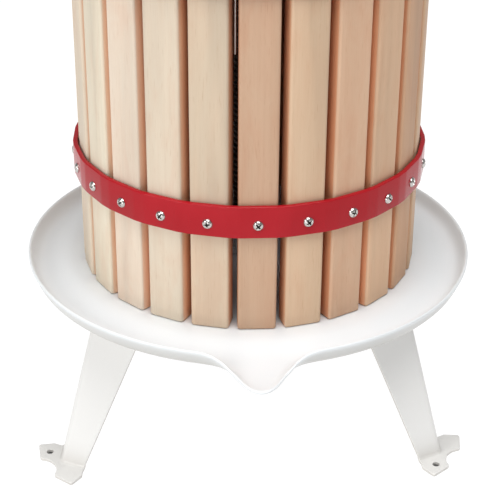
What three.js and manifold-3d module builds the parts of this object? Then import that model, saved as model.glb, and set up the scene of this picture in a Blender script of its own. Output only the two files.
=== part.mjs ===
// Basket wine press: a slatted wooden basket with two painted steel hoops stands on a
// white pressed-steel juice tray with three folded legs. A central spindle carries a
// pressing nut with two handle bars, wooden blocks and two half-moon press plates.
// Millimetres, +Z up, origin on the spindle axis at floor level, pouring lip towards -Y.
import * as THREE from "three";
import { mergeVertices } from "three/addons/utils/BufferGeometryUtils.js";
import Module from "manifold-3d";

const wasm = await Module();
wasm.setup();

// ---- driving dimensions -------------------------------------------------------
const SHEET = 2.5; // leg and tray sheet thickness
const ZB = 157.5; // underside of the basket above the floor
const STAVES = 24;
const STAVE_FACE = 140; // axis to a stave's outer face
const STAVE_THICK = 16.5;
const STAVE_WIDTH = 29.2;
const STAVE_HEIGHT = 372;
const STAVE_CHAMFER = 1.8;
const HOOP_GAP = 0.8; // paint and bedding gap behind the hoops
const HOOP_THICK = 4;
const HOOP_Z = { lower: [81.3, 107.1], upper: [267, 292.8] }; // above the basket's underside
const HOOP_SPLIT = { lower: 172.5, upper: -7.5 }; // azimuth of each hoop's pinned joint
const PIN_R = 1.1;
const PIN_AT = 128;
const PIN_TAIL = 48;
const EYE_R = 1.95;
const SCREW_HEAD_R = 4;
const SCREW_SHANK_R = 1.7;
const SCREW_DEPTH = 11;
const TRAY_RIM = 187.5;
const LIP_R = 216;
const SPINDLE_R = 13;
const SPINDLE_Z = [122, 760];
const LEG_AZ = { leg_left: -60, leg_right: 60, leg_rear: 180 };
const LEG_BOLT_AT = 112;
const PLATE_R = 117;
const PLATE_Z = [497, 522];
const BLOCK = [45, 55]; // width, height
const HUB_Z = [639.3, 712];
const BAR_Z = 684;
const BAR_R = 8;
const BAR_REACH = 240;
const HANDLE_AZ = 25;

const COL = {
  wood: 0xcaa987, plate: 0xcfae86, red: 0xb8202c, steel: 0xc9c9c9,
  white: 0xf2f2ee, zinc: 0xb9bbbd, iron: 0xa51f28, black: 0x26262a,
};

// ---- helpers ------------------------------------------------------------------
const rad = (d) => (d * Math.PI) / 180;
// radial r, tangential t (towards growing azimuth), height z, at an azimuth from -Y
const at = (az, r, t, z) => {
  const a = rad(az);
  return [r * Math.sin(a) + t * Math.cos(a), -r * Math.cos(a) + t * Math.sin(a), z];
};

function solid(geometry) {
  const g = geometry.index ? geometry.toNonIndexed() : geometry.clone();
  for (const k of Object.keys(g.attributes)) if (k !== "position") g.deleteAttribute(k);
  const m = mergeVertices(g, 1e-3);
  const idx = [];
  const a = m.index.array;
  for (let i = 0; i < a.length; i += 3)
    if (a[i] !== a[i + 1] && a[i + 1] !== a[i + 2] && a[i] !== a[i + 2]) idx.push(a[i], a[i + 1], a[i + 2]);
  let s = new wasm.Manifold(new wasm.Mesh({
    numProp: 3,
    vertProperties: new Float32Array(m.attributes.position.array),
    triVerts: new Uint32Array(idx),
  }));
  return s;
}

function toGeometry(s) {
  const m = s.getMesh();
  const n = m.numProp;
  const p = new Float32Array((m.vertProperties.length / n) * 3);
  for (let i = 0; i < p.length / 3; i++)
    for (let j = 0; j < 3; j++) p[i * 3 + j] = m.vertProperties[i * n + j];
  const g = new THREE.BufferGeometry();
  g.setAttribute("position", new THREE.BufferAttribute(p, 3));
  g.setIndex(new THREE.BufferAttribute(new Uint32Array(m.triVerts), 1));
  return g;
}

// a closed solid between stacked rings of points (each ring the same length, seen
// counter-clockwise from beyond the last ring)
function loft(rings, close = false) {
  const n = rings[0].length;
  const pos = rings.flat(2);
  const idx = [];
  const steps = close ? rings.length : rings.length - 1;
  for (let i = 0; i < steps; i++) {
    const a = i * n, b = ((i + 1) % rings.length) * n;
    for (let j = 0; j < n; j++) {
      const k = (j + 1) % n;
      idx.push(a + j, a + k, b + k, a + j, b + k, b + j);
    }
  }
  if (!close) {
    const flat = (ring) => {
      const p = ring.map((v) => new THREE.Vector3(...v));
      const nrm = new THREE.Vector3();
      for (let i = 0; i < p.length; i++) {
        const q = p[(i + 1) % p.length];
        nrm.x += (p[i].y - q.y) * (p[i].z + q.z);
        nrm.y += (p[i].z - q.z) * (p[i].x + q.x);
        nrm.z += (p[i].x - q.x) * (p[i].y + q.y);
      }
      nrm.normalize();
      const u = new THREE.Vector3(Math.abs(nrm.x) > 0.8 ? 0 : 1, Math.abs(nrm.x) > 0.8 ? 1 : 0, 0);
      u.addScaledVector(nrm, -u.dot(nrm)).normalize();
      const v = new THREE.Vector3().crossVectors(nrm, u);
      return p.map((q) => new THREE.Vector2(q.dot(u), q.dot(v)));
    };
    const first = THREE.ShapeUtils.triangulateShape(flat(rings[0]), []);
    for (const [x, y, z] of first) idx.push(x, z, y);
    const off = (rings.length - 1) * n;
    const last = THREE.ShapeUtils.triangulateShape(flat(rings[rings.length - 1]), []);
    for (const [x, y, z] of last) idx.push(off + x, off + y, off + z);
  }
  const g = new THREE.BufferGeometry();
  g.setAttribute("position", new THREE.BufferAttribute(new Float32Array(pos), 3));
  g.setIndex(idx);
  const s = solid(g);
  return s;
}

// upright prism over a list of [x, y] points, counter-clockwise from above
const prism = (pts, z0, z1) => loft([pts.map(([x, y]) => [x, y, z0]), pts.map(([x, y]) => [x, y, z1])]);

// cylinder from point a to point b
function rod(a, b, r, seg = 12, r2 = r) {
  const A = new THREE.Vector3(...a), B = new THREE.Vector3(...b);
  const d = B.clone().sub(A);
  const g = new THREE.CylinderGeometry(r2, r, d.length(), seg, 1);
  g.applyQuaternion(new THREE.Quaternion().setFromUnitVectors(new THREE.Vector3(0, 1, 0), d.clone().normalize()));
  const c = A.add(B).multiplyScalar(0.5);
  g.translate(c.x, c.y, c.z);
  return solid(g);
}

// solid of revolution about +Z; profile [r, z] from the bottom of the axis to the top
function turned(profile, seg = 32) {
  const g = new THREE.LatheGeometry(profile.map(([r, z]) => new THREE.Vector2(r, z)), seg);
  g.rotateX(Math.PI / 2);
  let s = solid(g);
  return s;
}

const root = new THREE.Group();
root.name = "basket_wine_press";
function add(name, s, color, rough, metal) {
  const mesh = new THREE.Mesh(
    toGeometry(s),
    new THREE.MeshStandardMaterial({ color, roughness: rough, metalness: metal })
  );
  mesh.name = name;
  root.add(mesh);
}

// ---- basket -------------------------------------------------------------------
const midZ = (h) => ZB + (HOOP_Z[h][0] + HOOP_Z[h][1]) / 2;
const SCREW_DROP = 2.2; // the screws sit a little below the middle of the band
const screwZ = (h) => midZ(h) - SCREW_DROP;
for (let k = 0; k < STAVES; k++) {
  const az = k * 15;
  const i = STAVE_FACE - STAVE_THICK, o = STAVE_FACE, w = STAVE_WIDTH / 2, c = STAVE_CHAMFER;
  const outline = [[o, -w + c], [o, w - c], [o - c, w], [i, w], [i, -w], [o - c, -w]];
  let s = prism(outline.map(([r, t]) => at(az, r, t, 0).slice(0, 2)), ZB, ZB + STAVE_HEIGHT);
  for (const h of ["lower", "upper"]) {
    const z = screwZ(h);
    s = s.subtract(rod(at(az, o - SCREW_DEPTH - 1, 0, z), at(az, o + 5, 0, z), SCREW_SHANK_R + 0.65, 6));
  }
  add("stave_" + String(k + 1).padStart(2, "0"), s, COL.wood, 0.6, 0);
}

// the band follows the staves: flat along each face, bent at each stave's corners
function bandPath(off) {
  const p = [];
  for (let k = 0; k < STAVES; k++)
    for (const sgn of [-1, 1]) p.push(at(k * 15, STAVE_FACE + off, sgn * (13.3 + off * 0.0655), 0).slice(0, 2));
  return p;
}
function ringBand(off0, off1, z0, z1) {
  const a = bandPath(off0), b = bandPath(off1);
  const rings = a.map((q, i) => [[...q, z0], [...b[i], z0], [...b[i], z1], [...q, z1]]);
  return loft(rings.reverse(), true);
}
for (const h of ["lower", "upper"]) {
  const z0 = ZB + HOOP_Z[h][0], z1 = ZB + HOOP_Z[h][1], zm = midZ(h), zs = screwZ(h), sp = HOOP_SPLIT[h];
  let band = ringBand(HOOP_GAP, HOOP_GAP + HOOP_THICK, z0, z1);
  // the joint: a slit, and an eye on each end that reaches into the slot between staves
  const slit = loft([
    [at(sp, 138, -0.25, z0 - 2), at(sp, 148, -0.25, z0 - 2), at(sp, 148, 0.25, z0 - 2), at(sp, 138, 0.25, z0 - 2)],
    [at(sp, 138, -0.25, z1 + 2), at(sp, 148, -0.25, z1 + 2), at(sp, 148, 0.25, z1 + 2), at(sp, 138, 0.25, z1 + 2)],
  ]);
  band = band.subtract(slit);
  for (const sgn of [-1, 1]) {
    const lo = sgn < 0 ? zm + 0.4 : z0 + 0.6, hi = sgn < 0 ? z1 - 0.6 : zm - 0.4;
    const t0 = Math.min(sgn * 0.35, sgn * 1.85), t1 = Math.max(sgn * 0.35, sgn * 1.85);
    const q = [[PIN_AT, t0], [143, t0], [143, t1], [PIN_AT, t1]];
    band = band.add(loft([q.map(([r, t]) => at(sp, r, t, lo)), q.map(([r, t]) => at(sp, r, t, hi))]));
    band = band.add(rod(at(sp, PIN_AT, 0, lo), at(sp, PIN_AT, 0, hi), EYE_R, 10));
  }
  band = band.subtract(rod(at(sp, PIN_AT, 0, z0 - 5), at(sp, PIN_AT, 0, z1 + 5), PIN_R + 0.25, 8));
  // screws
  let screws = ringBand(0.25, 0.55, zs - 2, zs + 2).subtract(
    loft([
      [at(sp, 136, -4.2, zs - 5), at(sp, 150, -4.2, zs - 5), at(sp, 150, 4.2, zs - 5), at(sp, 136, 4.2, zs - 5)],
      [at(sp, 136, -4.2, zs + 5), at(sp, 150, -4.2, zs + 5), at(sp, 150, 4.2, zs + 5), at(sp, 136, 4.2, zs + 5)],
    ]));
  for (let k = 0; k < STAVES; k++) {
    const face = STAVE_FACE + HOOP_GAP + HOOP_THICK;
    band = band.subtract(rod(at(k * 15, STAVE_FACE - 1, 0, zs), at(k * 15, face + 3, 0, zs), SCREW_SHANK_R + 0.5, 6));
    const prof = [[0, -(HOOP_GAP + HOOP_THICK) - SCREW_DEPTH], [SCREW_SHANK_R, -HOOP_GAP - HOOP_THICK - SCREW_DEPTH + 4],
      [SCREW_SHANK_R, 0.12], [SCREW_HEAD_R, 0.12], [SCREW_HEAD_R * 0.9, 1.3], [0, 2.6]];
    const g = new THREE.LatheGeometry(prof.map(([r, z]) => new THREE.Vector2(r, z)), 7);
    // the turned axis (+Y) points along the outward radius
    const n = new THREE.Vector3(...at(k * 15, 1, 0, 0));
    g.applyQuaternion(new THREE.Quaternion().setFromUnitVectors(new THREE.Vector3(0, 1, 0), n));
    const c = at(k * 15, face, 0, zs);
    g.translate(c[0], c[1], c[2]);
    screws = screws.add(solid(g));
  }
  add(h + "_hoop", band, COL.red, 0.35, 0.1);
  add(h + "_hoop_screws", screws, COL.steel, 0.25, 1);
  // joint pin with a tail below the hoop and a head bent out over its top edge
  let pin = rod(at(sp, PIN_AT, 0, z0 - PIN_TAIL), at(sp, PIN_AT, 0, z1 + 2.6), PIN_R, 10);
  pin = pin.add(rod(at(sp, PIN_AT - 1, 0, z1 + 1.5), at(sp, 151, 0, z1 + 1.5), PIN_R, 10));
  add(h + "_hoop_pin", pin, COL.zinc, 0.3, 1);
}

// ---- juice tray ---------------------------------------------------------------
const lipTable = [ // degrees from the lip's centre, radius share, height share
  [0, 1, 1], [1.3, 0.955, 0.99], [2.65, 0.83, 0.96], [3.8, 0.665, 0.91], [4.9, 0.49, 0.83], [6.4, 0.32, 0.67],
  [8.9, 0.12, 0.35], [11.6, 0.03, 0.1], [15, 0, 0],
];
function lip(az) {
  const u = Math.min(Math.abs(az), 15);
  for (let i = 1; i < lipTable.length; i++)
    if (u <= lipTable[i][0]) {
      const a = lipTable[i - 1], b = lipTable[i], f = (u - a[0]) / (b[0] - a[0]);
      return [a[1] + (b[1] - a[1]) * f, a[2] + (b[2] - a[2]) * f];
    }
  return [0, 0];
}
const trayRings = [];
{
  const list = [];
  for (const [u] of lipTable) { list.push(u); if (u) list.push(-u); }
  for (let u = 22.5; u < 180; u += 7.5) list.push(u, -u);
  list.push(180);
  list.sort((a, b) => a - b);
  const S = SPINDLE_R + 1;
  // [r, z] of the plain rim, [r, z] at the lip's tip; top face outwards, then underside inwards
  const prof = [
    [[S, -0.3], [S, -0.3]], [[150, -0.3], [150, -0.3]], [[160, -2.4], [160, -2.4]], [[169, -5], [172, -5.4]],
    [[177.5, -4.4], [191, -6.2]], [[182.3, 0], [206, -6.3]], [[184.6, 6], [215.6, -5.6]], [[186, 7.3], [217.6, -5.3]],
    [[TRAY_RIM, 6.2], [LIP_R, -6.2]], [[TRAY_RIM - 0.3, 4], [LIP_R - 1.6, -7.6]], [[184.9, -1.5], [207, -8.8]],
    [[180.6, -7.6], [192, -8.9]], [[170, -8.0], [172, -8.0]], [[159, -5.0], [159, -5.0]], [[149, -2.8], [149, -2.8]], [[S, -2.8], [S, -2.8]],
  ];
  for (const az of list) {
    const [kr, kz] = lip(az);
    trayRings.push(prof.map(([p, q]) => at(az, p[0] + (q[0] - p[0]) * kr, 0, ZB + p[1] + (q[1] - p[1]) * kz)));
  }
}
let tray = loft(trayRings, true);
for (const az of Object.values(LEG_AZ))
  tray = tray.subtract(rod(at(az, LEG_BOLT_AT, 0, ZB - 12), at(az, LEG_BOLT_AT, 0, ZB + 12), 4.6, 12));
add("juice_tray", tray, COL.white, 0.3, 0);

// ---- legs ---------------------------------------------------------------------
const LEG_HALF = rad(55.5); // each face leans back from the leg's outward line by this angle
const spineTop = [143.8, ZB - 3.1], spineLow = [187.3, SHEET];
const faceTop = 49.7, faceLow = 21.4;
for (const [name, az] of Object.entries(LEG_AZ)) {
  const dr = -Math.cos(LEG_HALF), dt = Math.sin(LEG_HALF), th = SHEET * 1.04;
  const section = (r, w, z) => {
    const nR = Math.sin(LEG_HALF) * th, nT = Math.cos(LEG_HALF) * th;
    return [
      at(az, r + w * dr, -w * dt, z), at(az, r, 0, z), at(az, r + w * dr, w * dt, z),
      at(az, r + w * dr - nR, w * dt - nT, z), at(az, r - th / Math.sin(LEG_HALF), 0, z), at(az, r + w * dr - nR, -w * dt + nT, z),
    ];
  };
  let s = loft([section(spineLow[0], faceLow, spineLow[1] - 1), section(spineTop[0], faceTop, spineTop[1])]);
  // foot: two tabs bent outwards, with a round notch between them
  const half = [[172.8, 16.2], [175, 18.2], [179.5, 26.5], [192.5, 32], [199.5, 13.5], [196.3, 11], [193.9, 7.2], [192.8, 2.6]];
  const foot = [...half.map(([r, t]) => [r, -t]), ...half.slice().reverse(), [184.2, 0]];
  s = s.add(loft([foot.map(([r, t]) => at(az, r, t, 0)), foot.map(([r, t]) => at(az, r, t, SHEET))]));
  s = s.subtract(rod(at(az, 188.5, -17, -3), at(az, 188.5, -17, 6), 3, 12));
  // top flange under the tray
  const fl = [[92, -22], [118, -41], [141, -4], [141, 4], [118, 41], [92, 22]];
  s = s.add(loft([fl.map(([r, t]) => at(az, r, t, ZB - 3.1 - SHEET)), fl.map(([r, t]) => at(az, r, t, ZB - 3.1))]));
  s = s.subtract(rod(at(az, LEG_BOLT_AT, 0, ZB - 12), at(az, LEG_BOLT_AT, 0, ZB + 12), 4.6, 12));
  add(name, s, COL.white, 0.3, 0);
}
let n = 1;
for (const az of Object.values(LEG_AZ)) {
  const c = (z) => at(az, LEG_BOLT_AT, 0, z);
  const bolt = rod(c(ZB - 19), c(ZB + 0.5), 3.9, 10)
    .add(rod(c(ZB), c(ZB + 3.2), 9, 14, 6.5));
  add("leg_bolt_" + n, bolt, COL.zinc, 0.3, 1);
  const nut = rod(c(ZB - 12.6), c(ZB - 5.9), 7.4, 6).subtract(rod(c(ZB - 16), c(ZB), 4.3, 12));
  add("leg_nut_" + n, nut, COL.zinc, 0.3, 1);
  n++;
}

// ---- spindle ------------------------------------------------------------------
const Z = (z) => [0, 0, z];
add("spindle", turned([[0, SPINDLE_Z[0]], [SPINDLE_R - 1.5, SPINDLE_Z[0]], [SPINDLE_R, SPINDLE_Z[0] + 1.5],
  [SPINDLE_R, SPINDLE_Z[1] - 2], [SPINDLE_R - 2, SPINDLE_Z[1]], [0, SPINDLE_Z[1]]], 24), COL.steel, 0.3, 1);
const bore = (z0, z1, r = SPINDLE_R + 0.5) => rod(Z(z0), Z(z1), r, 24);
add("spindle_washer", rod(Z(ZB - 7.6), Z(ZB - 3.1), 36, 32).subtract(bore(ZB - 9, ZB)), COL.zinc, 0.35, 1);
add("spindle_nut_lower", rod(Z(ZB - 28), Z(ZB - 7.9), 23.5, 6).subtract(bore(ZB - 30, ZB)), COL.zinc, 0.35, 1);
add("spindle_nut_upper", rod(Z(ZB), Z(ZB + 20), 23.5, 6).subtract(bore(ZB - 3, ZB + 25)), COL.zinc, 0.35, 1);

// ---- press head ---------------------------------------------------------------
for (const [name, sgn] of [["press_plate_left", -1], ["press_plate_right", 1]]) {
  const pts = [];
  for (let i = 0; i <= 16; i++) {
    const a = rad(-90 + (180 * i) / 16);
    pts.push([sgn * (0.75 + (PLATE_R - 0.75) * Math.cos(a)), sgn * PLATE_R * Math.sin(a)]);
  }
  const s = prism(pts, PLATE_Z[0], PLATE_Z[1]).subtract(rod(Z(PLATE_Z[0] - 5), Z(PLATE_Z[1] + 5), 17, 20));
  add(name, s, COL.plate, 0.6, 0);
}
const box = (x0, x1, y0, y1, z0, z1) => prism([[x0, y0], [x1, y0], [x1, y1], [x0, y1]], z0, z1);
const b1 = PLATE_Z[1] + 0.3, b2 = b1 + BLOCK[1] + 0.3, b3 = b2 + BLOCK[1];
add("press_block_front", box(-88, 88, -42 - BLOCK[0] / 2, -42 + BLOCK[0] / 2, b1, b1 + BLOCK[1]), COL.plate, 0.6, 0);
add("press_block_back", box(-88, 88, 42 - BLOCK[0] / 2, 42 + BLOCK[0] / 2, b1, b1 + BLOCK[1]), COL.plate, 0.6, 0);
add("press_block_left", box(-42 - BLOCK[0] / 2, -42 + BLOCK[0] / 2, -78, 78, b2, b3), COL.plate, 0.6, 0);
add("press_block_right", box(42 - BLOCK[0] / 2, 42 + BLOCK[0] / 2, -78, 78, b2, b3), COL.plate, 0.6, 0);
add("thrust_plate", rod(Z(b3 + 0.3), Z(b3 + 6.3), 52, 32).subtract(bore(b3 - 2, b3 + 9, SPINDLE_R + 1.5)), COL.zinc, 0.35, 1);

// ---- pressing nut and handle --------------------------------------------------
const hz = (r, z = BAR_Z) => at(HANDLE_AZ, r, 0, z);
let hub = turned([[0, HUB_Z[0]], [38, HUB_Z[0]], [40, HUB_Z[0] + 2], [40, HUB_Z[0] + 9], [30, HUB_Z[0] + 14],
  [26, HUB_Z[0] + 24], [26, HUB_Z[1] - 6], [22, HUB_Z[1]], [0, HUB_Z[1]]], 24);
hub = hub.add(rod(hz(-52), hz(52), 14, 16));
hub = hub.subtract(bore(HUB_Z[0] - 5, HUB_Z[1] + 5, SPINDLE_R + 0.5));
hub = hub.subtract(rod(hz(19), hz(60), BAR_R + 0.45, 16)).subtract(rod(hz(-60), hz(-19), BAR_R + 0.45, 16));
add("pressing_nut", hub, COL.iron, 0.4, 0.3);
for (const [name, sgn] of [["front", 1], ["back", -1]]) {
  add("handle_bar_" + name, rod(hz(sgn * 20), hz(sgn * BAR_REACH), BAR_R, 14), COL.zinc, 0.3, 1);
  const g = rod(hz(sgn * 130), hz(sgn * (BAR_REACH + 8)), 13.5, 16).subtract(rod(hz(sgn * 120), hz(sgn * (BAR_REACH + 1)), BAR_R + 0.45, 14));
  add("handle_grip_" + name, g, COL.black, 0.8, 0);
}

export default root;
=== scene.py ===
import bpy, bmesh, math, random
import numpy as np
from mathutils import Vector, Matrix


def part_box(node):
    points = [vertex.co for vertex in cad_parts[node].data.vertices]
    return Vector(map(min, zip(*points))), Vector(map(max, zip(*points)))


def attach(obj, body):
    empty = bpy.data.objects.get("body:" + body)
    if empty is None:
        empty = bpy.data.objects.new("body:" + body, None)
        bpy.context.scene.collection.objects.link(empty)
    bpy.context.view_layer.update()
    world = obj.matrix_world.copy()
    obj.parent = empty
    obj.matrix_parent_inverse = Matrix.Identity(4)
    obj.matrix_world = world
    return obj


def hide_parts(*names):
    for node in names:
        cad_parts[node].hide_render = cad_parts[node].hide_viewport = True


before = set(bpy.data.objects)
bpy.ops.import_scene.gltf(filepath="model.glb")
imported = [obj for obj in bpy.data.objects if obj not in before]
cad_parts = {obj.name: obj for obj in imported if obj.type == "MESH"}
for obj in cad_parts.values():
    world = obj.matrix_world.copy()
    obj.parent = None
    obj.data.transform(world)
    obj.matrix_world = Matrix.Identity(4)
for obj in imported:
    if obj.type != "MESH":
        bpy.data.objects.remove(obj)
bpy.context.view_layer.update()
MM = 0.001

# ---------------------------------------------------------------- dimensions (mm)
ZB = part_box("stave_01")[0].z * 1000          # underside of the basket
STAVE_FACE, STAVE_THICK, STAVE_W, STAVE_H = 140.0, 16.5, 29.6, 372.0
HOOP_GAP, HOOP_T = 0.8, 4.0
HOOPS = {}
for h in ("lower", "upper"):
    lo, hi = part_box(h + "_hoop")
    HOOPS[h] = (lo.z * 1000, hi.z * 1000)
SPLIT = {"lower": 172.5, "upper": -7.5}
SHEET = 2.5
LEG_AZ = {"leg_left": -60.0, "leg_right": 60.0, "leg_rear": 180.0}


def at(az, r, t=0.0, z=0.0):
    a = math.radians(az)
    return Vector((r * math.sin(a) + t * math.cos(a), -r * math.cos(a) + t * math.sin(a), z))


# ---------------------------------------------------------------- mesh helpers
def mesh_object(name, verts, faces, mat=None, sharp=40.0, attrs=None):
    me = bpy.data.meshes.new(name)
    me.from_pydata([tuple(float(c) * MM for c in v) for v in verts], [], [tuple(int(i) for i in f) for f in faces])
    me.validate()
    ob = bpy.data.objects.new(name, me)
    bpy.context.scene.collection.objects.link(ob)
    if mat:
        me.materials.append(mat)
    finish_mesh(ob, sharp)
    return ob


def finish_mesh(ob, sharp=40.0, merge=0.0):
    me = ob.data
    bm = bmesh.new()
    bm.from_mesh(me)
    if merge:
        bmesh.ops.remove_doubles(bm, verts=bm.verts, dist=merge * MM)
    bmesh.ops.recalc_face_normals(bm, faces=bm.faces)
    lim = math.radians(sharp)
    for f in bm.faces:
        f.smooth = True
    for e in bm.edges:
        if len(e.link_faces) == 2:
            e.smooth = e.calc_face_angle(0.0) < lim
        else:
            e.smooth = False
    bm.to_mesh(me)
    bm.free()
    me.update()


def bake(ob, sharp=40.0):
    dg = bpy.context.evaluated_depsgraph_get()
    dg.update()
    me = bpy.data.meshes.new_from_object(ob.evaluated_get(dg), preserve_all_data_layers=True, depsgraph=dg)
    mats = list(ob.data.materials)
    ob.modifiers.clear()
    ob.data = me
    if mats and not list(me.materials):
        for m in mats:
            me.materials.append(m)
    finish_mesh(ob, sharp)
    return ob


def grid_faces(rows, cols, close_rows=False, close_cols=False, base=0):
    f = []
    R = rows if close_rows else rows - 1
    C = cols if close_cols else cols - 1
    for i in range(R):
        for j in range(C):
            a = base + i * cols + j
            b = base + i * cols + (j + 1) % cols
            c = base + ((i + 1) % rows) * cols + (j + 1) % cols
            d = base + ((i + 1) % rows) * cols + j
            f.append((a, b, c, d))
    return f


def lathe(profile, seg=64, origin=(0, 0, 0), axis=(0, 0, 1)):
    """profile: [(r, h)]; a row on the axis becomes one point"""
    q = Vector((0, 0, 1)).rotation_difference(Vector(axis).normalized())
    V, F, rows = [], [], []
    o = Vector(origin)
    for r, h in profile:
        if r < 1e-6:
            rows.append([len(V)])
            V.append(o + q @ Vector((0, 0, h)))
        else:
            rows.append(list(range(len(V), len(V) + seg)))
            for i in range(seg):
                a = 2 * math.pi * i / seg
                V.append(o + q @ Vector((r * math.cos(a), r * math.sin(a), h)))
    for A, B in zip(rows[:-1], rows[1:]):
        for i in range(seg):
            k = (i + 1) % seg
            if len(A) == 1 and len(B) == 1:
                break
            if len(A) == 1:
                F.append((A[0], B[i], B[k]))
            elif len(B) == 1:
                F.append((A[i], A[k], B[0]))
            else:
                F.append((A[i], A[k], B[k], B[i]))
    return V, F


def tube(points, radius, seg=16, round_ends=True):
    pts = [Vector(p) for p in points]
    rad = [radius] * len(pts)
    if round_ends:
        def end(p, q):
            d = (p - q).normalized()
            return [(p + d * radius * (math.sin(a) - 1), radius * math.cos(a)) for a in (1.571, 1.2, 0.8, 0.4, 0.0)]
        s = end(pts[0], pts[1])
        e = end(pts[-1], pts[-2])[::-1]
        pts = [p for p, _ in s] + pts[1:-1] + [p for p, _ in e]
        rad = [r for _, r in s] + [radius] * (len(rad) - 2) + [r for _, r in e]
    V, F = [], []
    t0 = (pts[1] - pts[0]).normalized()
    n = t0.orthogonal().normalized()
    for i, p in enumerate(pts):
        a = pts[max(i - 1, 0)]
        b = pts[min(i + 1, len(pts) - 1)]
        t = (b - a).normalized()
        n = (n - t * n.dot(t)).normalized()
        m = t.cross(n)
        for k in range(seg):
            w = 2 * math.pi * k / seg
            V.append(p + (n * math.cos(w) + m * math.sin(w)) * max(rad[i], 0.02))
    F = grid_faces(len(pts), seg, close_cols=True)
    F.append(tuple(range(seg))[::-1])
    F.append(tuple((len(pts) - 1) * seg + k for k in range(seg)))
    return V, F


def join(parts):
    V, F = [], []
    for v, f in parts:
        b = len(V)
        V += list(v)
        F += [tuple(i + b for i in g) for g in f]
    return V, F


def pchip(xs, ys, x):
    xs, ys = np.array(xs, float), np.array(ys, float)
    h = np.diff(xs)
    d = np.diff(ys) / h
    m = np.zeros(len(xs))
    for i in range(1, len(xs) - 1):
        if d[i - 1] * d[i] > 0:
            w1, w2 = 2 * h[i] + h[i - 1], h[i] + 2 * h[i - 1]
            m[i] = (w1 + w2) / (w1 / d[i - 1] + w2 / d[i])
    i = int(np.clip(np.searchsorted(xs, x) - 1, 0, len(xs) - 2))
    t = (x - xs[i]) / h[i]
    return float((1 + 2 * t) * (1 - t) ** 2 * ys[i] + t * (1 - t) ** 2 * h[i] * m[i]
                 + t * t * (3 - 2 * t) * ys[i + 1] + t * t * (t - 1) * h[i] * m[i + 1])


def set_attr(ob, name, value):
    a = ob.data.attributes.new(name, "FLOAT", "POINT")
    a.data.foreach_set("value", np.full(len(ob.data.vertices), value, np.float32))


def set_color(ob, name, rgb):
    a = ob.data.attributes.new(name, "FLOAT_COLOR", "POINT")
    a.data.foreach_set("color", np.tile(np.array([*rgb, 1.0], np.float32), len(ob.data.vertices)))


# ---------------------------------------------------------------- materials
class Nodes:
    def __init__(self, name):
        self.mat = bpy.data.materials.new(name)
        self.mat.use_nodes = True
        self.t = self.mat.node_tree
        self.bsdf = self.t.nodes["Principled BSDF"]
        self.x = -300

    def n(self, kind, **kw):
        node = self.t.nodes.new(kind)
        self.x -= 60
        node.location = (self.x, random.Random(len(self.t.nodes)).uniform(-400, 400))
        for k, v in kw.items():
            if isinstance(k, str) and hasattr(node, k) and k not in ("inputs",):
                setattr(node, k, v)
        return node

    def link(self, a, b):
        self.t.links.new(a, b)

    def coords(self):
        return self.n("ShaderNodeTexCoord").outputs["Object"]

    def mapping(self, vec, scale=(1, 1, 1), loc=(0, 0, 0), rot=(0, 0, 0)):
        m = self.n("ShaderNodeMapping")
        m.inputs["Scale"].default_value = scale
        m.inputs["Location"].default_value = loc
        m.inputs["Rotation"].default_value = rot
        self.link(vec, m.inputs["Vector"])
        return m.outputs["Vector"]

    def noise(self, vec, scale=1.0, detail=4, rough=0.55, dist=0.0):
        m = self.n("ShaderNodeTexNoise")
        m.inputs["Scale"].default_value = scale
        m.inputs["Detail"].default_value = detail
        m.inputs["Roughness"].default_value = rough
        m.inputs["Distortion"].default_value = dist
        self.link(vec, m.inputs["Vector"])
        return m.outputs["Fac"]

    def ramp(self, fac, stops, interp="LINEAR"):
        m = self.n("ShaderNodeValToRGB")
        cr = m.color_ramp
        cr.interpolation = interp
        while len(cr.elements) < len(stops):
            cr.elements.new(0.5)
        for e, (p, c) in zip(cr.elements, stops):
            e.position = p
            e.color = (*c, 1) if len(c) == 3 else c
        self.link(fac, m.inputs["Fac"])
        return m.outputs["Color"]

    def range(self, fac, a0, a1, b0, b1):
        m = self.n("ShaderNodeMapRange")
        for k, v in zip(("From Min", "From Max", "To Min", "To Max"), (a0, a1, b0, b1)):
            m.inputs[k].default_value = v
        self.link(fac, m.inputs["Value"])
        return m.outputs["Result"]

    def mix(self, kind, fac, a, b):
        m = self.n("ShaderNodeMix", data_type="RGBA", blend_type=kind)
        if hasattr(fac, "links"):
            self.link(fac, m.inputs["Factor"])
        else:
            m.inputs["Factor"].default_value = fac
        for s, v in (("A", a), ("B", b)):
            sock = [i for i in m.inputs if i.name == s and i.type == "RGBA"][0]
            if hasattr(v, "links"):
                self.link(v, sock)
            else:
                sock.default_value = (*v, 1)
        return [o for o in m.outputs if o.type == "RGBA"][0]

    def math(self, op, a, b=None):
        m = self.n("ShaderNodeMath", operation=op)
        for i, v in enumerate((a, b)):
            if v is None:
                continue
            if hasattr(v, "links"):
                self.link(v, m.inputs[i])
            else:
                m.inputs[i].default_value = v
        return m.outputs[0]

    def bump(self, height, strength, dist):
        m = self.n("ShaderNodeBump")
        m.inputs["Strength"].default_value = strength
        m.inputs["Distance"].default_value = dist
        self.link(height, m.inputs["Height"])
        self.link(m.outputs["Normal"], self.bsdf.inputs["Normal"])
        return m

    def set(self, **kw):
        for k, v in kw.items():
            k = k.replace("_", " ")
            s = self.bsdf.inputs[k]
            if hasattr(v, "links"):
                self.link(v, s)
            elif isinstance(v, tuple) and len(v) == 3:
                s.default_value = (*v, 1)
            else:
                s.default_value = v


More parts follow.
